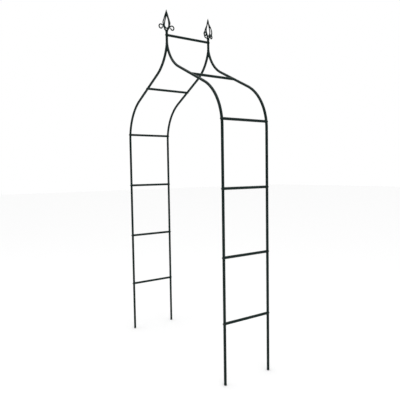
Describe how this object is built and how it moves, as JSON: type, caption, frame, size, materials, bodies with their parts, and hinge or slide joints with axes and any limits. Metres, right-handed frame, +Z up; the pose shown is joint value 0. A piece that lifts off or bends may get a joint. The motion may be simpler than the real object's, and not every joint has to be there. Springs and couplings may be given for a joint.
{
  "type": "trellis arch",
  "caption": "Ogee garden arch of round painted steel tube, with rungs between its front and back frames and a scrolled leaf finial on each peak.",
  "frame": {"origin": "on the ground, in the middle of the four legs", "axes": "+X across the walkway to the right-hand side ladder, +Y through the arch from the front frame to the back frame, +Z up"},
  "size_m": [1.293, 0.4877, 2.497],
  "materials": {
    "powder_coat": "satin dark green-black powder coat, lightly textured",
    "bolt_paint": "satin dark paint",
    "insert_steel": "plain zinc-plated steel",
    "cap_plastic": "matte black moulded plastic"
  },
  "bodies": {
    "root": {"crown_arm_back_left": "powder_coat", "crown_arm_back_right": "powder_coat", "crown_arm_front_left": "powder_coat", "crown_arm_front_right": "powder_coat", "end_cap_back_left": "cap_plastic", "end_cap_back_right": "cap_plastic", "end_cap_front_left": "cap_plastic", "end_cap_front_right": "cap_plastic", "finial_back_inner_leaf": "powder_coat", "finial_back_outer_leaf": "powder_coat", "finial_back_plug": "powder_coat", "finial_back_scroll_left": "powder_coat", "finial_back_scroll_right": "powder_coat", "finial_front_inner_leaf": "powder_coat", "finial_front_outer_leaf": "powder_coat", "finial_front_plug": "powder_coat", "finial_front_scroll_left": "powder_coat", "finial_front_scroll_right": "powder_coat", "leg_back_left": "powder_coat", "leg_back_right": "powder_coat", "leg_front_left": "powder_coat", "leg_front_right": "powder_coat", "lower_rung_left": "powder_coat", "lower_rung_right": "powder_coat", "lowest_rung_left": "powder_coat", "lowest_rung_right": "powder_coat", "ogee_rung_left": "powder_coat", "ogee_rung_right": "powder_coat", "post_back_left": "powder_coat", "post_back_right": "powder_coat", "post_front_left": "powder_coat", "post_front_right": "powder_coat", "rung_bolts": "bolt_paint", "rung_inserts": "insert_steel", "rung_washers": "cap_plastic", "shoulder_back_left": "powder_coat", "shoulder_back_right": "powder_coat", "shoulder_front_left": "powder_coat", "shoulder_front_right": "powder_coat", "shoulder_rung_left": "powder_coat", "shoulder_rung_right": "powder_coat", "stem_back": "powder_coat", "stem_front": "powder_coat", "top_bar": "powder_coat", "upper_rung_left": "powder_coat", "upper_rung_right": "powder_coat"}
  },
  "joints": []
}
